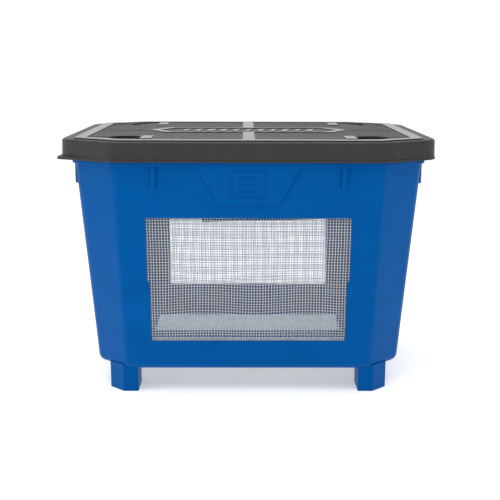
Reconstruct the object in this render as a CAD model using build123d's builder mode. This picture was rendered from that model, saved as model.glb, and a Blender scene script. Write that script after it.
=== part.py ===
from build123d import *
import os

# A plastic tote box with a lift-off lid. Four walls lean outwards and meet in cut-off corners, and the
# box stands on four moulded corner feet. The front wall, the rear wall and the floor each have windows
# cut in them, closed by pieces of coarse woven mesh that are glued down round their edges: the front one
# from inside the box, the others from outside.
#
# Frame: millimetres, +Z up, +X to the right, the front faces -Y. The origin is on the ground at the
# middle of the box.

# ---------------------------------------------------------------- driving dimensions
lid_half_x = 331.0  # half the lid's length, over the skirt's bottom
lid_half_y = 238.0  # half the lid's width
overall_height = 463.2  # ground to the top of the lid's bands
foot_height = 43.0  # ground to the underside of the tub
wall = 3.0  # moulded wall thickness of the tub
base_half_x = 279.5  # half the tub's length at its underside
base_half_y = 201.6  # half its width there
rim_half_x = 309.0  # half the tub's length at the rim, over the wall
rim_half_y = 230.0  # half its width there

# lid
skirt_depth = 35.0  # from the shoulder down to the skirt's bottom edge
skirt_draft = 1.0  # how far the skirt leans in from its bottom to the shoulder
lid_wall = 3.0
panel_rise = 0.6  # how far the top panel stands above the shoulder round it
panel_half_x = 306.0
panel_half_y = 228.0
lid_cut = (94.0, 58.0)  # how much of each corner is cut off, along X and along Y
panel_cut = (82.0, 51.0)
panel_radius = 6.0
lid_corner_radius = 45.0
shoulder_radius = 4.0
bead_height = 4.0  # rounded bead round the skirt's bottom edge
bead_reach = 0.8

# lid: raised border, name plate, corner recesses
relief = 1.6  # how far the border, the middle band, the name plate and the pads stand above the panel
border_width = 20.0
centre_band_half = 10.5
plate_outer = (192.0, 158.0, 54.0)  # long hexagon: tip x, corner x, half height
plate_inner = (172.0, 144.0, 46.0)
groove_width = 9.0
groove_depth = 1.8
groove_overlap = 2.0  # how far each groove runs in under what it starts from
recess_inner_x = 192.0
recess_outer_x = 247.0
recess_near_y = 122.0
recess_far_y = 203.0
recess_arch = 17.0  # how far the recess bows towards the middle line
recess_cut = (36.0, 34.0)
recess_line_y = 146.0  # groove from the recess to the border
recess_depth = 5.0  # at the end towards the middle line, from where the floor climbs
recess_far_depth = 0.8
pad_inner_x = 170.0  # small raised pad beside each recess
pad_near_y = 134.0
pad_far_y = 190.0
pad_gap = 2.0  # between a pad and its recess

# lid: lift tabs round two opposite corners
tab_reach = 5.0
tab_thickness = 5.0
tab_side_y = 104.0  # where it ends on the short side
tab_shift = 6.0  # how far its widest point lies beyond the cut corner's end
tab_root = 20.0  # how far it reaches into the skirt
tab_tip_radius = 12.0
tab_edge_radius = 2.0

# tub
tub_cut_base = (60.0, 50.0)
tub_cut_rim = (76.0, 52.0)
tub_corner_radius = 20.0
bottom_radius = 15.0
floor_thickness = 3.0
lid_gap = 0.3  # between the tub's rim and the lid that rests on it
rim_band_reach = 2.0  # the thick rim stands this much outside the wall's top
rim_band_bottom = 419.0
rib_width = 8.4
rib_bottom = 379.0
rib_top = 425.0  # inside the thick rim
rib_root = 14.0  # how deep ribs and aprons reach inwards, to be cut off level with the wall's inside
front_rib_x = 164.0
side_rib_y = 147.0
apron_top_half = 92.0  # tapering apron under the rim, at the middle of the front and the rear
apron_bottom_half = 52.5
apron_root = 4.0  # how far up inside the rim it begins
apron_bottom = 352.0
apron_radius = 6.0
apron_lean = 5.0  # its face falls back this much from top to bottom
plaque_half = 30.0  # plaque on the apron, outlined with a raised line
plaque_bottom = 364.0
plaque_top = 411.0
plaque_bars = 3  # level lines inside the outline
line_width = 1.8
line_height = 0.8
edge_radius = 1.5  # rounded outer edges of the rim, the ribs and the aprons

# feet
foot_inner_x = 202.0
foot_outer_x = 256.0
foot_inner_y = 142.0
foot_outer_y = 196.5
foot_cut = (27.0, 24.0)
foot_corner_radius = 3.0

# windows and mesh
window_bottom = 99.5
window_top = 328.0
window_half_upper = 179.5
window_half_lower = 175.5
window_step = 212.0  # height at which the front window gets narrower
window_step_slope = 3.0  # the edge slants over this much above and below that height
rear_window_half = 176.0
rear_window_top = 246.0
rear_window_slant = 1.0  # its upper edge ends this much higher at the right
rear_window_nick = (-103.0, 240.0)  # the rear cut's upper edge drops here and climbs again
cut_radius = 4.0
floor_window_half_x = 194.0
floor_windows = {"floor_mesh_front": (-150.0, -11.0), "floor_mesh_rear": (24.0, 150.0)}
mesh_thickness = 0.8
mesh_margin = 13.0  # how far a wall mesh laps over its window's edge
floor_mesh_margin = 4.5  # the floor meshes and their glue stay clear of the feet
bead_width = 7.0
bead_thickness = 1.8
bead_outside = 3.0  # part of the glue bead's width that lies beyond the mesh's edge
cut_depth = 200.0  # how far the window cuts reach out of the tub
cut_start = 100.0  # how far inside the wall they begin
cut_margin = 1.0  # how far the floor cuts pass the floor above and below
tolerance = 0.01  # used to pick out faces and corners by their place

# ---------------------------------------------------------------- worked out from the above
panel_top = overall_height - relief
shoulder_top = panel_top - panel_rise
skirt_bottom = shoulder_top - skirt_depth
lid_underside = shoulder_top - lid_wall
rim_top = lid_underside - lid_gap
floor_top = foot_height + floor_thickness
wall_rise = rim_top - foot_height
lean_y = (rim_half_y - base_half_y) / wall_rise
band_half_x = rim_half_x + rim_band_reach
band_half_y = rim_half_y + rim_band_reach


def cut_corner_rectangle(half_x, half_y, cut, radius, inset=0.0):
    """A rectangle about the origin with its corners cut off and the corners of that rounded."""
    near_x, near_y = half_x - cut[0], half_y - cut[1]
    corners = [(near_x, half_y), (half_x, near_y), (half_x, -near_y), (near_x, -half_y)]
    corners += [(-x, -y) for x, y in corners]
    with BuildSketch(mode=Mode.PRIVATE) as outline:
        Polygon(*corners)
        fillet(outline.vertices(), radius)
        if inset:
            offset(amount=-inset, mode=Mode.REPLACE)
    return outline.sketch


def tub_outline(height, inset=0.0):
    """The tub's outline at a height, over its walls or, with an inset, inside them."""
    share = (height - foot_height) / wall_rise
    between = lambda low, high: low + (high - low) * share
    cut = tuple(between(low, high) for low, high in zip(tub_cut_base, tub_cut_rim))
    half_x = between(base_half_x, rim_half_x)
    half_y = between(base_half_y, rim_half_y)
    return cut_corner_rectangle(half_x, half_y, cut, tub_corner_radius, inset)


def wall_y(height):
    """How far the outer face of the front and the rear wall is from the middle."""
    return base_half_y + lean_y * (height - foot_height)


def mirrored(points, side_x, side_y):
    """Points of the +X +Y quarter, moved to another quarter."""
    return [(side_x * x, side_y * y) for x, y in points]


def finish(builder, name):
    """Labels a finished piece and writes it."""
    builder.part.label = name
    export_step(builder.part, f"parts/{name}.step")


os.makedirs("parts", exist_ok=True)
quarters = [(side_x, side_y) for side_x in (1, -1) for side_y in (1, -1)]

# ---------------------------------------------------------------- tub
# The space inside the tub, which is cut out of everything that is built onto its walls.
with BuildPart() as cavity:
    with BuildSketch(Plane.XY.offset(floor_top)):
        add(tub_outline(floor_top, inset=wall))
    with BuildSketch(Plane.XY.offset(rim_top)):
        add(tub_outline(rim_top, inset=wall))
    loft(ruled=True)
    fillet(cavity.faces().sort_by(Axis.Z)[0].edges(), bottom_radius - wall)


def foot_outline(side_x, side_y, inset=0.0):
    """A corner foot seen from below: a block with its outer corner cut to follow the tub's corner."""
    corners = [
        (foot_inner_x, foot_inner_y),
        (foot_outer_x, foot_inner_y),
        (foot_outer_x, foot_outer_y - foot_cut[1]),
        (foot_outer_x - foot_cut[0], foot_outer_y),
        (foot_inner_x, foot_outer_y),
    ]
    with BuildSketch(mode=Mode.PRIVATE) as outline:
        Polygon(*mirrored(corners, side_x, side_y), align=None)
        fillet(outline.vertices(), foot_corner_radius)
        if inset:
            offset(amount=-inset, mode=Mode.REPLACE)
    return outline.sketch


# Upright ribs under the rim, with a rounded lower end.
with BuildPart() as ribs:
    rib_planes = ((Plane.XZ, band_half_y, front_rib_x), (Plane.YZ, band_half_x, side_rib_y))
    for side in (1, -1):
        for plane, face_distance, rib_place in rib_planes:
            with BuildSketch(plane.offset(side * face_distance)):
                with Locations(*[(place, (rib_bottom + rib_top) / 2) for place in (rib_place, -rib_place)]):
                    SlotOverall(rib_top - rib_bottom, rib_width, rotation=90)
            extrude(amount=-side * rib_root)
    front_faces = ribs.faces().filter_by(lambda face: abs(face.center().Y) > band_half_y - edge_radius)
    side_faces = ribs.faces().filter_by(lambda face: abs(face.center().X) > band_half_x - edge_radius)
    fillet(front_faces.edges() + side_faces.edges(), edge_radius)


def apron_plane(side):
    """The leaning front face of the front (-1) or rear (1) apron, with its x seen from outside."""
    return Plane(
        origin=(0, side * band_half_y, rim_band_bottom + apron_root),
        x_dir=(-side, 0, 0),
        z_dir=(0, side * (rim_band_bottom - apron_bottom), -apron_lean),
    )


# Aprons under the rim, at the middle of the front and the rear, each with a plaque on it.
apron_height = rim_band_bottom + apron_root - apron_bottom
plaque_size = (2 * plaque_half, plaque_top - plaque_bottom)
plaque_middle = (plaque_bottom + plaque_top) / 2 - rim_band_bottom - apron_root
with BuildPart() as aprons:
    for side in (-1, 1):
        outline_plane = apron_plane(side)
        with BuildSketch(outline_plane) as apron_face:
            Polygon(
                (-apron_top_half, 0),
                (-apron_bottom_half, -apron_height),
                (apron_bottom_half, -apron_height),
                (apron_top_half, 0),
                align=None,
            )
            fillet(apron_face.vertices().group_by(Axis.Y)[0], apron_radius)
        extrude(amount=-rib_root)
        facing = Axis(outline_plane.origin, outline_plane.z_dir)
        face_edges = aprons.faces().sort_by(facing)[-1].edges()
        fillet(face_edges.filter_by(lambda edge: edge.center().Z < rim_band_bottom), edge_radius)
        with BuildSketch(outline_plane):
            with Locations((0, plaque_middle)):
                Rectangle(*plaque_size)
                Rectangle(*[size - 2 * line_width for size in plaque_size], mode=Mode.SUBTRACT)
                with GridLocations(0, plaque_size[1] / (plaque_bars + 1), 1, plaque_bars):
                    Rectangle(plaque_half, line_width)
        extrude(amount=line_height)


def window_plane(side):
    """The upright plane inside the front (-1) or rear (1) wall that its window is cut from."""
    return Plane(origin=(0, side * (base_half_y - cut_start), 0), x_dir=(1, 0, 0), z_dir=(0, -1, 0))


with BuildPart() as tub_shell:
    # leaning walls and rounded underside
    with BuildSketch(Plane.XY.offset(foot_height)):
        add(tub_outline(foot_height))
    with BuildSketch(Plane.XY.offset(rim_top)):
        add(tub_outline(rim_top))
    loft(ruled=True)
    fillet(tub_shell.faces().sort_by(Axis.Z)[0].edges(), bottom_radius)

    # feet, which run up into the rounded underside
    with BuildSketch():
        for side_x, side_y in quarters:
            add(foot_outline(side_x, side_y))
    extrude(amount=foot_height + bottom_radius / 2)

    # thick rim, with its lower edge rounded
    with BuildSketch(Plane.XY.offset(rim_band_bottom)):
        add(cut_corner_rectangle(band_half_x, band_half_y, tub_cut_rim, tub_corner_radius))
    extrude(amount=rim_top - rim_band_bottom)

    underside = tub_shell.faces().filter_by(
        lambda face: face.normal_at().Z < tolerance - 1 and abs(face.center().Z - rim_band_bottom) < tolerance
    )
    fillet(underside.face().outer_wire().edges(), edge_radius)

    add(ribs.part)
    add(aprons.part)

    # inside
    add(cavity.part, mode=Mode.SUBTRACT)
    with BuildSketch(Plane.XY.offset(wall)):
        for side_x, side_y in quarters:
            add(foot_outline(side_x, side_y, inset=wall))
    extrude(amount=foot_height, mode=Mode.SUBTRACT)

    # windows
    with BuildSketch(window_plane(-1)) as front_window:
        half_outline = [
            (window_half_lower, window_bottom),
            (window_half_lower, window_step - window_step_slope),
            (window_half_upper, window_step + window_step_slope),
            (window_half_upper, window_top),
        ]
        Polygon(*half_outline, *[(-x, z) for x, z in reversed(half_outline)], align=None)
        corners = front_window.vertices().filter_by(lambda v: abs(v.Y - window_step) > cut_radius)
        fillet(corners, cut_radius)
    extrude(amount=cut_depth, mode=Mode.SUBTRACT)
    with BuildSketch(window_plane(1)) as rear_window:
        Polygon(
            (-rear_window_half, window_bottom),
            (rear_window_half, window_bottom),
            (rear_window_half, rear_window_top + rear_window_slant),
            rear_window_nick,
            (rear_window_nick[0], rear_window_top),
            (-rear_window_half, rear_window_top),
            align=None,
        )
        fillet(rear_window.vertices().group_by(Axis.Y)[0], cut_radius)
    extrude(amount=-cut_depth, mode=Mode.SUBTRACT)
    with BuildSketch(Plane.XY.offset(foot_height - cut_margin)) as floor_cuts:
        for low_y, high_y in floor_windows.values():
            with Locations((0, (low_y + high_y) / 2)):
                Rectangle(2 * floor_window_half_x, high_y - low_y)
        fillet(floor_cuts.vertices(), cut_radius)
    extrude(amount=floor_thickness + 2 * cut_margin, mode=Mode.SUBTRACT)
finish(tub_shell, "tub_shell")

# ---------------------------------------------------------------- mesh panels and their glue beads


def front_inner_plane(height):
    """A plane on the inner face of the front wall, facing into the tub, x along X."""
    return Plane(origin=(0, wall - wall_y(height), height), x_dir=(1, 0, 0), z_dir=(0, 1, lean_y))


def rear_outer_plane(height):
    """A plane on the outer face of the rear wall, facing away from the tub, x along X."""
    return Plane(origin=(0, wall_y(height), height), x_dir=(1, 0, 0), z_dir=(0, 1, -lean_y))


def build_mesh(name, plane, size_x, size_y):
    """A sheet of mesh lying on a plane, and the glue bead that runs over and round its edge."""
    with BuildPart() as sheet:
        with BuildSketch(plane):
            Rectangle(size_x, size_y)
        extrude(amount=mesh_thickness)
    finish(sheet, name)
    outer = bead_outside
    inner = bead_width - bead_outside
    with BuildPart() as bead:
        with BuildSketch(plane):
            RectangleRounded(size_x + 2 * outer, size_y + 2 * outer, outer)
            Rectangle(size_x - 2 * inner, size_y - 2 * inner, mode=Mode.SUBTRACT)
        extrude(amount=bead_thickness)
        add(sheet.part, mode=Mode.SUBTRACT)
    finish(bead, f"{name}_glue")


for name, wall_plane, half_x, top in (
    ("front_mesh", front_inner_plane, window_half_upper, window_top),
    ("rear_mesh", rear_outer_plane, rear_window_half, rear_window_top),
):
    middle_height = (window_bottom + top) / 2
    build_mesh(
        name,
        wall_plane(middle_height),
        2 * (half_x + mesh_margin),
        top - window_bottom + 2 * mesh_margin,
    )
for name, (low_y, high_y) in floor_windows.items():
    build_mesh(
        name,
        Plane(origin=(0, (low_y + high_y) / 2, foot_height), x_dir=(1, 0, 0), z_dir=(0, 0, -1)),
        2 * (floor_window_half_x + floor_mesh_margin),
        high_y - low_y + 2 * floor_mesh_margin,
    )

# ---------------------------------------------------------------- lid


def recess_outline(side_x, side_y, grow=0.0):
    """A corner recess of the lid, arched towards the middle line and cut off at the lid's corner."""
    corners = mirrored(
        [
            (recess_inner_x, recess_near_y + recess_arch),
            (recess_inner_x, recess_far_y),
            (recess_outer_x - recess_cut[0], recess_far_y),
            (recess_outer_x, recess_far_y - recess_cut[1]),
            (recess_outer_x, recess_near_y + recess_arch),
        ],
        side_x,
        side_y,
    )
    arch_top = mirrored([((recess_inner_x + recess_outer_x) / 2, recess_near_y)], side_x, side_y)[0]
    with BuildSketch(mode=Mode.PRIVATE) as outline:
        with BuildLine():
            Polyline(*corners)
            ThreePointArc(corners[-1], arch_top, corners[0])
        make_face()
        if grow:
            offset(amount=grow, mode=Mode.REPLACE)
    return outline.sketch


def recess_block(drop, grow=0.0):
    """The four corner recesses as solids, with a floor that climbs outwards, lowered and grown all round."""
    top = panel_top - drop
    bottom = top - recess_depth
    climb = (recess_depth - recess_far_depth) / (recess_far_y - recess_near_y)
    end_y = recess_far_y + 2 * lid_wall
    end_z = bottom + climb * (end_y - recess_near_y)
    with BuildPart() as block:
        with BuildSketch(Plane.XY.offset(bottom)):
            for side_x, side_y in quarters:
                add(recess_outline(side_x, side_y, grow))
        extrude(amount=recess_depth)
        with BuildSketch(Plane.YZ.offset(-lid_half_x)):
            for side in (1, -1):
                below_floor = [(recess_near_y, bottom), (end_y, bottom), (end_y, end_z)]
                Polygon(*[(side * y, z) for y, z in below_floor], align=None)
        extrude(amount=2 * lid_half_x, mode=Mode.SUBTRACT)
    return block.part


def hexagon(tip_x, corner_x, half_y):
    """The corners of a long hexagon about the origin, with its tips at the left and the right."""
    half = [(corner_x, half_y), (tip_x, 0), (corner_x, -half_y)]
    return half + [(-x, -y) for x, y in half]


# A tab seen from above reaches its full width at the corner's side end and fades out along the front.
tab_points = [
    (lid_half_x - lid_cut[0] - tab_root, lid_half_y - lid_wall),
    (lid_half_x - lid_cut[0], lid_half_y),
    (lid_half_x + tab_reach, lid_half_y - lid_cut[1] + tab_shift),
    (lid_half_x + tab_reach, tab_side_y + tab_reach),
    (lid_half_x, tab_side_y),
    (lid_half_x - tab_root, tab_side_y),
]
with BuildPart() as lift_tabs:
    with BuildSketch(Plane.XY.offset(skirt_bottom)) as tab_outline:
        for side in (1, -1):
            Polygon(*mirrored(tab_points, side, side), align=None)
        fillet(tab_outline.vertices().filter_by(lambda v: abs(v.X) > lid_half_x + tolerance), tab_tip_radius)
    extrude(amount=tab_thickness)
    outer_edges = lift_tabs.edges().filter_by(lambda e: abs(e.center().X) > lid_half_x + tolerance)
    fillet(outer_edges.filter_by(Plane.XY), tab_edge_radius)

recess_hollows = recess_block(drop=0)
recess_shells = recess_block(drop=lid_wall, grow=lid_wall)


def panel_outline(inset=0.0):
    return cut_corner_rectangle(panel_half_x, panel_half_y, panel_cut, panel_radius, inset)


with BuildPart() as lid_shell:
    # skirt and shoulder, with a rounded shoulder edge and a bead round the bottom
    for height, inset in ((skirt_bottom, 0), (shoulder_top, skirt_draft)):
        with BuildSketch(Plane.XY.offset(height)):
            add(cut_corner_rectangle(lid_half_x, lid_half_y, lid_cut, lid_corner_radius, inset))
    loft(ruled=True)
    fillet(lid_shell.faces().sort_by(Axis.Z)[-1].edges(), shoulder_radius)
    with BuildSketch(Plane.XY.offset(skirt_bottom)):
        add(cut_corner_rectangle(lid_half_x, lid_half_y, lid_cut, lid_corner_radius, -bead_reach))
    extrude(amount=bead_height)
    add(lift_tabs.part)

    # panel, and the border, middle band, name plate and pads that stand above it
    with BuildSketch(Plane.XY.offset(shoulder_top)):
        add(panel_outline())
    extrude(amount=panel_rise)
    with BuildSketch(Plane.XY.offset(panel_top)):
        add(panel_outline())
        add(panel_outline(inset=border_width), mode=Mode.SUBTRACT)
        Rectangle(2 * centre_band_half, 2 * panel_half_y - border_width)
        Polygon(*hexagon(*plate_outer))
        Polygon(*hexagon(*plate_inner), mode=Mode.SUBTRACT)
        pad_outer_x = recess_inner_x - pad_gap
        pad_middle = ((pad_inner_x + pad_outer_x) / 2, (pad_near_y + pad_far_y) / 2)
        with GridLocations(2 * pad_middle[0], 2 * pad_middle[1], 2, 2):
            Rectangle(pad_outer_x - pad_inner_x, pad_far_y - pad_near_y)
    extrude(amount=relief)

    # hollow underneath
    with BuildSketch(Plane.XY.offset(skirt_bottom)):
        add(cut_corner_rectangle(lid_half_x, lid_half_y, lid_cut, lid_corner_radius, lid_wall + skirt_draft))
    extrude(amount=lid_underside - skirt_bottom, mode=Mode.SUBTRACT)

    # corner recesses, each with a floor and walls of its own under the panel
    add(recess_shells)
    add(recess_hollows, mode=Mode.SUBTRACT)

    # grooves from the name plate and from the recesses to the border
    with BuildSketch(Plane.XY.offset(panel_top)):
        border_inner_x = panel_half_x - border_width
        for start_x, y in (
            (plate_outer[0] + groove_overlap, 0),
            (recess_outer_x - groove_overlap, recess_line_y),
            (recess_outer_x - groove_overlap, -recess_line_y),
        ):
            with GridLocations(start_x + border_inner_x, 0, 2, 1):
                with Locations((0, y)):
                    Rectangle(border_inner_x - start_x, groove_width)
    extrude(amount=-groove_depth, mode=Mode.SUBTRACT)
finish(lid_shell, "lid_shell")
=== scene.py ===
"""Looks of a ventilated tote box: a blue tub on four feet, a charcoal lift-off lid, and woven mesh glued
over the windows of its front, its rear and its floor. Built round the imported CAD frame."""

import math

import bpy
import numpy as np
from mathutils import Matrix, Vector
from mathutils.bvhtree import BVHTree


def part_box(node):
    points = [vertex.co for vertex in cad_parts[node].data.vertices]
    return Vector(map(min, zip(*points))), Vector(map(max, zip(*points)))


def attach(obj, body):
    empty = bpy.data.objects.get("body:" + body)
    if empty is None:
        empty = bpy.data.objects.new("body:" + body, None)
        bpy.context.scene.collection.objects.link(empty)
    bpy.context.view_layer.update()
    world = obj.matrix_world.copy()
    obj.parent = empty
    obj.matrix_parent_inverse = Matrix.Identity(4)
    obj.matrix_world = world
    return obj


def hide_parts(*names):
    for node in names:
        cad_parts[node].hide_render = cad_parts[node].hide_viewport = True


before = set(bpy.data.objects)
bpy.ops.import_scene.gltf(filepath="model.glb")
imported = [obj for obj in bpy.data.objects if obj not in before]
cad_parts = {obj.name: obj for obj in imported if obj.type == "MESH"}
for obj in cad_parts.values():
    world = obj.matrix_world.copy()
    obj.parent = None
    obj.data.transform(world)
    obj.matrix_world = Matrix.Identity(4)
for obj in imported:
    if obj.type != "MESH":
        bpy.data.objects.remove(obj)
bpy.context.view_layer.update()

MM = 0.001

# ------------------------------------------------------------------ sizes, in metres
# Woven mesh: flattened threads, over and under each other.
PITCH = 5.08 * MM
THREAD_WIDTH = 1.5 * MM
THREAD_THICKNESS = 1.1 * MM
WEAVE_LIFT = 0.48 * MM  # how far a thread swings to each side of the sheet where it crosses another
CLOTH_RISE = 0.7 * MM  # how far the threads' middle lies beyond the CAD panel's, away from the wall
THREAD_SIDES = 6
THREAD_JITTER = 0.16 * MM
THREAD_WAVES = (12, 30)  # how fast a thread wanders off its line, in radians a metre
END_JITTER = 1.3 * MM  # the cut ends of the threads aren't level
CLOTH_SHIFT = 1.0 * MM  # slow unevenness of the whole cloth: across, along and off the wall
CLOTH_DRIFT = 0.8 * MM
CLOTH_SLACK = 1.1 * MM
FRONT_WAVE = 2.3 * MM  # how far the front cloth's rows rise and dip
FRONT_WAVE_COUNT = 1.02  # waves in half the width
FRONT_WAVE_PLACE = 0.42  # how far left of the middle its first rise is, in halves of the width
FRONT_WAVE_HEIGHT = -0.35  # at what height the waves are strongest, from -1 at the bottom to 1
FRONT_WAVE_REACH = 0.42  # how far up and down from there they reach

# Glue beads: how wide and how high each is, and how uneven.
BEAD_WIDTH = 7.0 * MM
BEAD_HEIGHT = 1.9 * MM
BEAD_STEP = 4.0 * MM
BEAD_CORNER = 6.0 * MM
BEAD_WANDER = 0.8 * MM

# Lid top: knurled fields between smooth borders.
RELIEF = 1.6 * MM  # border, bands, name plate and pads stand this much above the fields
KNURL_PITCH = 4.2 * MM
KNURL_HEIGHT = 0.65 * MM
KNURL_ROOT = 0.3 * MM  # how deep each point of the knurl reaches into the panel
KNURL_MARGIN = 1.2 * MM  # bare strip round each field
LEVEL_TOLERANCE = 0.05 * MM
POLISH = 0.5  # how rough the raised surfaces are, against the rest of the lid
POLISH_BLEND = 0.2 * MM
PLATE_TIP_X = 172.0 * MM  # the name plate's inside: a long hexagon
PLATE_CORNER_X = 144.0 * MM
PLATE_HALF_Y = 46.0 * MM

# Generic slanted bars in the name plate, where such lids have a name.
BAR_COUNT = 11
BAR_SPACING = 24.0 * MM
BAR_WIDTH = 11.0 * MM
BAR_HALF_Y = 22.0 * MM
BAR_SLANT = 9.0 * MM
BAR_HEIGHT = 1.2 * MM


# ------------------------------------------------------------------ node helpers
def new_material(name):
    """A node material. Returns it with its node tree and its Principled shader."""
    material = bpy.data.materials.new(name)
    material.use_nodes = True
    tree = material.node_tree
    return material, tree, tree.nodes["Principled BSDF"]


def add_noise(tree, scale, detail=3.0, stretch=(1, 1, 1)):
    """Noise in the object's own coordinates, with scale in cells a metre."""
    coordinates = tree.nodes.new("ShaderNodeTexCoord")
    mapping = tree.nodes.new("ShaderNodeMapping")
    mapping.inputs["Scale"].default_value = stretch
    noise = tree.nodes.new("ShaderNodeTexNoise")
    noise.inputs["Scale"].default_value = scale
    noise.inputs["Detail"].default_value = detail
    tree.links.new(coordinates.outputs["Object"], mapping.inputs["Vector"])
    tree.links.new(mapping.outputs["Vector"], noise.inputs["Vector"])
    return noise.outputs["Fac"]


def add_ramp(tree, factor, stops):
    """A colour ramp of (position, colour) stops."""
    ramp = tree.nodes.new("ShaderNodeValToRGB")
    elements = ramp.color_ramp.elements
    while len(elements) < len(stops):
        elements.new(0.5)
    for element, (position, colour) in zip(elements, stops):
        element.position = position
        element.color = (*colour, 1)
    tree.links.new(factor, ramp.inputs["Fac"])
    return ramp.outputs["Color"]


def add_range(tree, value, low, high, from_low=0.3, from_high=0.7):
    """Maps a value to a range of numbers."""
    remap = tree.nodes.new("ShaderNodeMapRange")
    remap.inputs["From Min"].default_value = from_low
    remap.inputs["From Max"].default_value = from_high
    remap.inputs["To Min"].default_value = low
    remap.inputs["To Max"].default_value = high
    tree.links.new(value, remap.inputs["Value"])
    return remap.outputs["Result"]


def add_bump(tree, shader, height, strength, distance):
    """A bump of that height on the shader, on top of any bump that it has."""
    bump = tree.nodes.new("ShaderNodeBump")
    bump.inputs["Strength"].default_value = strength
    bump.inputs["Distance"].default_value = distance
    tree.links.new(height, bump.inputs["Height"])
    if shader.inputs["Normal"].is_linked:
        tree.links.new(shader.inputs["Normal"].links[0].from_socket, bump.inputs["Normal"])
    tree.links.new(bump.outputs["Normal"], shader.inputs["Normal"])


def shade(colour, factor):
    return tuple(channel * factor for channel in colour)


# ------------------------------------------------------------------ materials
def make_tub_plastic():
    """Moulded blue polyethylene: satin, with a faint orange-peel skin and flow marks."""
    material, tree, shader = new_material("tub_plastic")
    blue = (0.0002, 0.085, 0.318)
    cloud = add_noise(tree, 9, 4, (1, 1, 2.5))
    stops = [(0.25, shade(blue, 0.93)), (0.5, blue), (0.78, shade(blue, 1.07))]
    tree.links.new(add_ramp(tree, cloud, stops), shader.inputs["Base Color"])
    tree.links.new(add_range(tree, add_noise(tree, 60), 0.36, 0.46), shader.inputs["Roughness"])
    shader.inputs["IOR"].default_value = 1.5
    shader.inputs["Specular IOR Level"].default_value = 0.12
    shader.inputs["Specular Tint"].default_value = (0.1, 0.5, 1.0, 1)
    add_bump(tree, shader, add_noise(tree, 420, 2), 0.12, 0.3 * MM)
    add_bump(tree, shader, add_noise(tree, 14, 2), 0.25, 0.8 * MM)
    return material


def make_lid_plastic(name, rough, grain, smooth_above=None):
    """Moulded charcoal polyethylene with a fine grain. Above a height it may be polished smooth."""
    material, tree, shader = new_material(name)
    charcoal = (0.0155, 0.0155, 0.0158)
    cloud = add_noise(tree, 22, 4)
    stops = [(0.3, shade(charcoal, 0.88)), (0.5, charcoal), (0.75, shade(charcoal, 1.16))]
    tree.links.new(add_ramp(tree, cloud, stops), shader.inputs["Base Color"])
    roughness = add_range(tree, add_noise(tree, 90), rough - 0.05, rough + 0.05)
    if smooth_above:
        coordinates = tree.nodes.new("ShaderNodeTexCoord")
        split = tree.nodes.new("ShaderNodeSeparateXYZ")
        tree.links.new(coordinates.outputs["Object"], split.inputs["Vector"])
        low, high = smooth_above - POLISH_BLEND, smooth_above + POLISH_BLEND
        polish = add_range(tree, split.outputs["Z"], 1, POLISH, low, high)
        product = tree.nodes.new("ShaderNodeMath")
        product.operation = "MULTIPLY"
        tree.links.new(roughness, product.inputs[0])
        tree.links.new(polish, product.inputs[1])
        roughness = product.outputs["Value"]
    tree.links.new(roughness, shader.inputs["Roughness"])
    shader.inputs["IOR"].default_value = 1.5
    add_bump(tree, shader, add_noise(tree, 1400, 2), grain, 0.15 * MM)
    return material


def make_thread_material():
    """White coated glass-fibre thread: fine filaments under a smooth coat. The blue in its white is painted
    light, standing in for blue light thrown on the threads by the tub.
    """
    material, tree, shader = new_material("mesh_thread")
    # painted light: the blue tint in this white stands in for blue light from the tub's walls falling on
    # the threads
    white = (0.70, 0.765, 0.85)
    stops = [(0.3, shade(white, 0.9)), (0.6, white), (0.8, shade(white, 1.05))]
    tree.links.new(add_ramp(tree, add_noise(tree, 160, 3), stops), shader.inputs["Base Color"])
    tree.links.new(add_range(tree, add_noise(tree, 300), 0.42, 0.58), shader.inputs["Roughness"])
    shader.inputs["IOR"].default_value = 1.45
    shader.inputs["Transmission Weight"].default_value = 0.4
    add_bump(tree, shader, add_noise(tree, 3000, 1), 0.2, 0.1 * MM)
    return material


def make_glue_material():
    """Clear hot-melt glue, milky where it is thick."""
    material, tree, shader = new_material("clear_glue")
    milk = (0.66, 0.70, 0.74)
    stops = [(0.3, shade(milk, 0.86)), (0.7, milk)]
    tree.links.new(add_ramp(tree, add_noise(tree, 70, 3), stops), shader.inputs["Base Color"])
    tree.links.new(add_range(tree, add_noise(tree, 120), 0.16, 0.3), shader.inputs["Roughness"])
    shader.inputs["IOR"].default_value = 1.48
    shader.inputs["Transmission Weight"].default_value = 0.55
    add_bump(tree, shader, add_noise(tree, 180, 2), 0.35, 0.5 * MM)
    return material


tub_plastic = make_tub_plastic()
field_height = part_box("lid_shell")[1][2] - RELIEF
lid_plastic = make_lid_plastic("lid_plastic", rough=0.6, grain=0.1, smooth_above=field_height + RELIEF / 2)
field_plastic = make_lid_plastic("lid_field_plastic", rough=0.42, grain=0.3)
thread_material = make_thread_material()
glue_material = make_glue_material()


def dress_node(name, material):
    """Gives a CAD node that stays its material."""
    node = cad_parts[name]
    for slot in node.material_slots:
        slot.material = material


dress_node("tub_shell", tub_plastic)
dress_node("lid_shell", lid_plastic)


# ------------------------------------------------------------------ mesh building
def add_piece(name, vertices, faces, material, body, smooth=True):
    """A new piece that rides on a body."""
    data = bpy.data.meshes.new(name)
    data.from_pydata([tuple(v) for v in vertices], [], faces)
    data.materials.append(material)
    data.polygons.foreach_set("use_smooth", [smooth] * len(data.polygons))
    piece = bpy.data.objects.new(name, data)
    bpy.context.scene.collection.objects.link(piece)
    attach(piece, body)
    return piece


def tube_faces(first, rings, sides, closed=False):
    """The faces of a tube whose rings of points follow one another from index first."""
    faces = []
    for ring in range(rings if closed else rings - 1):
        here = first + ring * sides
        there = first + (ring + 1) % rings * sides
        for k in range(sides):
            after = (k + 1) % sides
            faces.append((here + k, here + after, there + after, there + k))
    if not closed:
        faces.append(tuple(first + k for k in reversed(range(sides))))
        faces.append(tuple(first + (rings - 1) * sides + k for k in range(sides)))
    return faces


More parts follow.
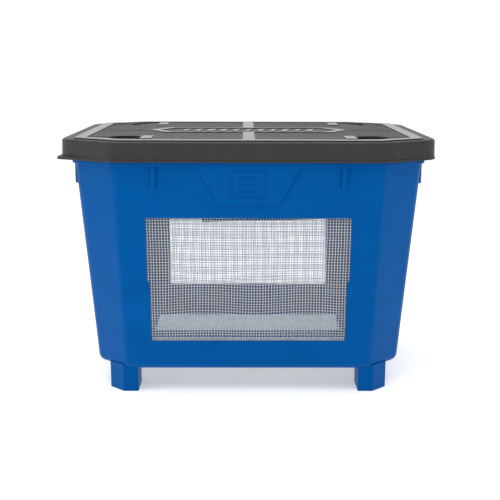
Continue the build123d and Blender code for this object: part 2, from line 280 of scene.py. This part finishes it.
def node_points(name):
    """A CAD node's points, at rest."""
    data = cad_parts[name].data
    flat = np.empty(3 * len(data.vertices))
    data.vertices.foreach_get("co", flat)
    return flat.reshape(-1, 3)


def panel_frame(name, facing):
    """The middle of a flat panel, its x direction, its other direction, its normal on the side of
    facing, and half its length along each of the two."""
    points = node_points(name)
    centre = (points.min(axis=0) + points.max(axis=0)) / 2
    along = np.array([1.0, 0.0, 0.0])
    upright = (points - centre)[:, 1:]
    spread = np.linalg.svd(upright, full_matrices=False)[2][0]
    across = np.array([0.0, *spread])
    across *= np.sign(across @ np.array([0.0, 0.3, 1.0]))  # up a wall, or to the rear along the floor
    normal = np.cross(along, across)
    normal *= np.sign(normal @ np.array(facing))
    half_along = np.abs((points - centre) @ along).max()
    half_across = np.abs((points - centre) @ across).max()
    return centre, along, across, normal, half_along, half_across


def smooth_noise(x, y, seed, waves_added=3):
    """A slow seeded wave field over x and y from -1 to 1, about -1 to 1 high."""
    random = np.random.default_rng(seed)
    total = np.zeros_like(x)
    for _ in range(waves_added):
        turn, phase = random.uniform(0, math.tau, 2)
        waves = random.uniform(1.0, 3.2)
        total += np.sin(waves * (x * math.cos(turn) + y * math.sin(turn)) * 2 + phase)
    return total / waves_added


def held_at_edges(place, power):
    """How free the cloth is at places from -1 to 1 across it: 0 at its glued edges, 1 over most of it.
    A higher power keeps it free closer to the edges."""
    return np.clip(1.25 * (1 - np.abs(place) ** power), 0, 1)


def make_weave(name, node, facing, seed, shift_across):
    """Replaces a CAD mesh panel by threads. shift_across gives how far the cloth is pushed along its
    second direction, in metres, at places given from -1 to 1 across the panel."""
    centre, along, across, normal, half_along, half_across = panel_frame(node, facing)
    random = np.random.default_rng(seed)
    vertices, faces = [], []
    angles = np.arange(THREAD_SIDES) * math.tau / THREAD_SIDES

    def add_threads(run, half_run, side, half_side, run_is_along):
        """Threads along run, next to one another along side."""
        count = int(2 * half_side / PITCH)
        crossings = int(2 * half_run / PITCH)
        for thread in range(count):
            place = (thread - (count - 1) / 2) * PITCH + random.uniform(-1, 1) * THREAD_JITTER
            steps = np.arange(2 * crossings + 1)
            place_on_run = (steps / 2 - crossings / 2) * PITCH
            place_on_run[0] = -half_run + random.uniform(-1, 1) * END_JITTER
            place_on_run[-1] = half_run + random.uniform(-1, 1) * END_JITTER
            lift = np.sin(math.pi * steps / 2) * WEAVE_LIFT
            lift *= 1 if (thread % 2 == 0) == run_is_along else -1
            wander = np.sin(place_on_run * random.uniform(*THREAD_WAVES) + random.uniform(0, math.tau))
            off_line = place + wander * THREAD_JITTER
            x, y = (place_on_run, off_line) if run_is_along else (off_line, place_on_run)
            u, v = x / half_along, y / half_across
            held = held_at_edges(u, 6) * held_at_edges(v, 4)
            y = y + shift_across(u, v) * held
            x = x + CLOTH_DRIFT * smooth_noise(u, v, seed + 1) * held
            slack = CLOTH_SLACK * smooth_noise(u, v, seed + 2) * held
            path = centre + np.outer(x, along) + np.outer(y, across)
            path = path + np.outer(lift + slack + CLOTH_RISE, normal)
            first = len(vertices)
            ring = (
                path[:, None, :]
                + np.cos(angles)[None, :, None] * side * THREAD_WIDTH / 2
                + np.sin(angles)[None, :, None] * normal * THREAD_THICKNESS / 2
            )
            vertices.extend(ring.reshape(-1, 3))
            faces.extend(tube_faces(first, len(path), THREAD_SIDES))

    add_threads(along, half_along, across, half_across, True)
    add_threads(across, half_across, along, half_along, False)
    piece = add_piece(name, vertices, faces, thread_material, "tub")
    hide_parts(node)
    return piece


def slight_shift(u, v):
    """The rear and the floor panels' rows are only a little uneven."""
    return CLOTH_SHIFT * smooth_noise(u, v, 41)


def front_shift(u, v):
    """The front panel's rows rise and dip in soft waves, most of all in its lower half."""
    waves = np.cos((u + FRONT_WAVE_PLACE) * math.tau * FRONT_WAVE_COUNT)
    strength = np.exp(-(((v - FRONT_WAVE_HEIGHT) / FRONT_WAVE_REACH) ** 2))
    return FRONT_WAVE * waves * strength


make_weave("front_weave", "front_mesh", (0, 1, 0), 11, front_shift)
make_weave("rear_weave", "rear_mesh", (0, 1, 0), 23, slight_shift)
make_weave("floor_weave_front", "floor_mesh_front", (0, 0, -1), 37, slight_shift)
make_weave("floor_weave_rear", "floor_mesh_rear", (0, 0, -1), 53, slight_shift)


# ------------------------------------------------------------------ glue beads
# A bead's section: how far to the side in bead widths, and how high in bead heights.
BEAD_SECTION = [(-0.5, 0.0), (-0.47, 0.45), (-0.3, 0.85), (0.0, 1.0), (0.3, 0.85), (0.47, 0.45), (0.5, 0.0)]


def rounded_rectangle(half_x, half_y, radius, step):
    """Points about step apart round a rectangle with round corners, and the outward direction at each."""
    points, outward = [], []
    corners = [(1, 1, 0), (-1, 1, 1), (-1, -1, 2), (1, -1, 3)]
    for side_x, side_y, quarter in corners:
        middle = np.array([side_x * (half_x - radius), side_y * (half_y - radius)])
        for turn in np.linspace(quarter, quarter + 1, 5) * math.pi / 2:
            direction = np.array([math.cos(turn), math.sin(turn)])
            points.append(middle + radius * direction)
            outward.append(direction)
    dense_points, dense_outward = [], []
    for i, (point, direction) in enumerate(zip(points, outward)):
        after, after_direction = points[(i + 1) % len(points)], outward[(i + 1) % len(points)]
        pieces = max(1, round(np.linalg.norm(after - point) / step))
        for share in np.arange(pieces) / pieces:
            dense_points.append(point + (after - point) * share)
            mixed = direction + (after_direction - direction) * share
            dense_outward.append(mixed / np.linalg.norm(mixed))
    return np.array(dense_points), np.array(dense_outward)


def make_bead(name, node, facing, seed):
    """Replaces a CAD glue bead by an uneven one that runs over the mesh's edge."""
    centre, along, across, normal, half_along, half_across = panel_frame(node, facing)
    inset = BEAD_WIDTH / 2
    line, outward = rounded_rectangle(half_along - inset, half_across - inset, BEAD_CORNER, BEAD_STEP)
    random = np.random.default_rng(seed)
    count = len(line)
    turns = np.arange(count) / count * math.tau

    def uneven(low, high):
        """Three waves of whole turns round the bead, scaled to a range."""
        waves = sum(
            np.sin(turns * random.integers(*band) + random.uniform(0, math.tau))
            for band in ((5, 14), (15, 40), (60, 110))
        )
        return low + (high - low) * (waves / 6 + 0.5)

    width = uneven(0.72, 1.0) * BEAD_WIDTH
    height = uneven(0.75, 1.15) * BEAD_HEIGHT
    off_line = uneven(-BEAD_WANDER, BEAD_WANDER)
    base = centre - normal * BEAD_HEIGHT / 2
    vertices = []
    for i in range(count):
        place = line[i] + outward[i] * off_line[i]
        for offset, rise in BEAD_SECTION:
            spot = place + outward[i] * offset * width[i]
            vertices.append(base + along * spot[0] + across * spot[1] + normal * rise * height[i])
    faces = tube_faces(0, count, len(BEAD_SECTION), closed=True)
    piece = add_piece(name, vertices, faces, glue_material, "tub")
    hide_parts(node)
    return piece


make_bead("front_glue_bead", "front_mesh_glue", (0, 1, 0), 101)
make_bead("rear_glue_bead", "rear_mesh_glue", (0, 1, 0), 103)
make_bead("floor_front_glue_bead", "floor_mesh_front_glue", (0, 0, -1), 107)
make_bead("floor_rear_glue_bead", "floor_mesh_rear_glue", (0, 0, -1), 109)


# ------------------------------------------------------------------ lid top
def in_plate(x, y):
    """Whether a place lies inside the name plate's outline."""
    if abs(y) > PLATE_HALF_Y + KNURL_PITCH:
        return False
    reach = PLATE_TIP_X - (PLATE_TIP_X - PLATE_CORNER_X) * min(abs(y) / PLATE_HALF_Y, 1)
    return abs(x) < reach + KNURL_PITCH


def make_knurl(name, tree, x_cells, y_cells):
    """Low pyramids, laid like bricks, wherever the lid's top lies at the fields' height."""
    half = KNURL_PITCH / 2
    corners = [(-1, -1), (1, -1), (1, 1), (-1, 1)]
    down = Vector((0, 0, -1))
    start_height = field_height + 10 * MM

    def is_field(x, y):
        hit = tree.ray_cast(Vector((x, y, start_height)), down)[0]
        return hit is not None and abs(hit.z - field_height) < LEVEL_TOLERANCE

    vertices, faces = [], []
    for x_cell in x_cells:
        for y_cell in y_cells:
            x = (x_cell + 0.25 + y_cell % 2 / 2) * KNURL_PITCH
            y = (y_cell + 0.5) * KNURL_PITCH
            reach = half + KNURL_MARGIN
            if in_plate(x, y) or not all(is_field(x + i * reach, y + j * reach) for i, j in corners):
                continue
            first = len(vertices)
            vertices += [(x + i * half, y + j * half, field_height - KNURL_ROOT) for i, j in corners]
            vertices.append((x, y, field_height + KNURL_HEIGHT))
            faces.append((first + 3, first + 2, first + 1, first))
            faces += [(first + k, first + (k + 1) % 4, first + 4) for k in range(4)]
    return add_piece(name, vertices, faces, field_plastic, "lid", smooth=False)


def make_plate_bars():
    """Slanted bars that stand in the name plate, each wider or narrower than the next."""
    random = np.random.default_rng(71)
    vertices, faces = [], []
    for bar in range(BAR_COUNT):
        middle = (bar - (BAR_COUNT - 1) / 2) * BAR_SPACING
        half = BAR_WIDTH / 2 * random.uniform(0.7, 1.3)
        outline = [
            (middle - half - BAR_SLANT / 2, -BAR_HALF_Y),
            (middle + half - BAR_SLANT / 2, -BAR_HALF_Y),
            (middle + half + BAR_SLANT / 2, BAR_HALF_Y),
            (middle - half + BAR_SLANT / 2, BAR_HALF_Y),
        ]
        first = len(vertices)
        for height in (-KNURL_ROOT, BAR_HEIGHT):
            vertices += [(x, y, field_height + height) for x, y in outline]
        faces += tube_faces(first, 2, len(outline))
    return add_piece("plate_bars", vertices, faces, lid_plastic, "lid", smooth=False)


def dress_lid():
    """Knurl on the lid's four fields, and bars in its name plate."""
    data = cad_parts["lid_shell"].data
    polygons = [tuple(polygon.vertices) for polygon in data.polygons]
    tree = BVHTree.FromPolygons([tuple(v) for v in node_points("lid_shell")], polygons)
    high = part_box("lid_shell")[1]
    x_count, y_count = int(high[0] / KNURL_PITCH), int(high[1] / KNURL_PITCH)
    for side_name, x_cells in (("left", range(-x_count, 0)), ("right", range(x_count))):
        for end_name, y_cells in (("front", range(-y_count, 0)), ("rear", range(y_count))):
            make_knurl(f"knurl_{end_name}_{side_name}", tree, x_cells, y_cells)
    make_plate_bars()


dress_lid()


# ------------------------------------------------------------------ studio
FLOOR_HALF = 12.0
FLOOR_GLOW = 0.38
WORLD_FRONT = 0.52  # how bright the world is in front of the box and at its sides
WORLD_BEHIND = 1.35
BACKDROP = 1.2  # how bright the camera sees it


def make_floor():
    """A white table that glows a little from below, so that shadows on it stay soft and pale."""
    half = FLOOR_HALF
    corners = [(-half, -half, 0), (half, -half, 0), (half, half, 0), (-half, half, 0)]
    data = bpy.data.meshes.new("studio_floor")
    data.from_pydata(corners, [], [(0, 1, 2, 3)])
    floor = bpy.data.objects.new("studio_floor", data)
    bpy.context.scene.collection.objects.link(floor)
    material, tree, shader = new_material("studio_white")
    shader.inputs["Base Color"].default_value = (0.86, 0.86, 0.86, 1)
    shader.inputs["Roughness"].default_value = 0.9
    shader.inputs["Specular IOR Level"].default_value = 0.0
    shader.inputs["Emission Color"].default_value = (1, 1, 1, 1)
    shader.inputs["Emission Strength"].default_value = FLOOR_GLOW
    data.materials.append(material)


def make_world():
    """White all round: brightest behind the box, dimmer in front of it."""
    world = bpy.data.worlds.new("studio")
    bpy.context.scene.world = world
    world.use_nodes = True
    tree = world.node_tree
    background = tree.nodes["Background"]
    background.inputs["Color"].default_value = (1, 1, 1, 1)
    coordinates = tree.nodes.new("ShaderNodeTexCoord")
    split = tree.nodes.new("ShaderNodeSeparateXYZ")
    tree.links.new(coordinates.outputs["Generated"], split.inputs["Vector"])
    strength = tree.nodes.new("ShaderNodeMapRange")
    strength.inputs["From Min"].default_value = -0.1
    strength.inputs["From Max"].default_value = 0.75
    strength.inputs["To Min"].default_value = WORLD_FRONT
    strength.inputs["To Max"].default_value = WORLD_BEHIND
    tree.links.new(split.outputs["Y"], strength.inputs["Value"])
    seen = tree.nodes.new("ShaderNodeLightPath")
    choose = tree.nodes.new("ShaderNodeMix")
    choose.data_type = "FLOAT"
    tree.links.new(seen.outputs["Is Camera Ray"], choose.inputs["Factor"])
    tree.links.new(strength.outputs["Result"], choose.inputs["A"])
    choose.inputs["B"].default_value = BACKDROP
    tree.links.new(choose.outputs["Result"], background.inputs["Strength"])


def add_light(name, place, aim, size, power):
    """A square softbox at a place, aimed at a point."""
    data = bpy.data.lights.new(name, "AREA")
    data.size = size
    data.energy = power
    light = bpy.data.objects.new(name, data)
    bpy.context.scene.collection.objects.link(light)
    light.location = place
    light.rotation_mode = "QUATERNION"
    light.rotation_quaternion = (Vector(aim) - Vector(place)).to_track_quat("-Z", "Y")


make_floor()
make_world()
add_light("softbox_left", (-1.9, -0.7, 0.9), (0, 0, 0.25), 1.2, 5)
add_light("softbox_right", (1.9, -0.7, 0.9), (0, 0, 0.25), 1.2, 0.3)
add_light("softbox_above", (-0.2, -0.6, 2.4), (0, -0.3, 0), 2.6, 44)


# ------------------------------------------------------------------ camera
FOCAL_LENGTH = 61.95  # millimetres, on a sensor 36 mm wide
CAMERA_PLACE = (-6.49 * MM, -1689.45 * MM, 597.34 * MM)
CAMERA_DOWN = 0.2182  # radians that it looks down
CAMERA_TURN = -0.0061
CAMERA_ROLL = 0.0027

camera_data = bpy.data.cameras.new("camera")
camera_data.sensor_width = 36
camera_data.lens = FOCAL_LENGTH
camera = bpy.data.objects.new("camera", camera_data)
bpy.context.scene.collection.objects.link(camera)
tilt = Matrix.Rotation(CAMERA_TURN, 4, "Z") @ Matrix.Rotation(math.pi / 2 - CAMERA_DOWN, 4, "X")
camera.matrix_world = Matrix.Translation(CAMERA_PLACE) @ tilt @ Matrix.Rotation(CAMERA_ROLL, 4, "Z")
bpy.context.scene.camera = camera
bpy.context.scene.view_settings.view_transform = "Standard"
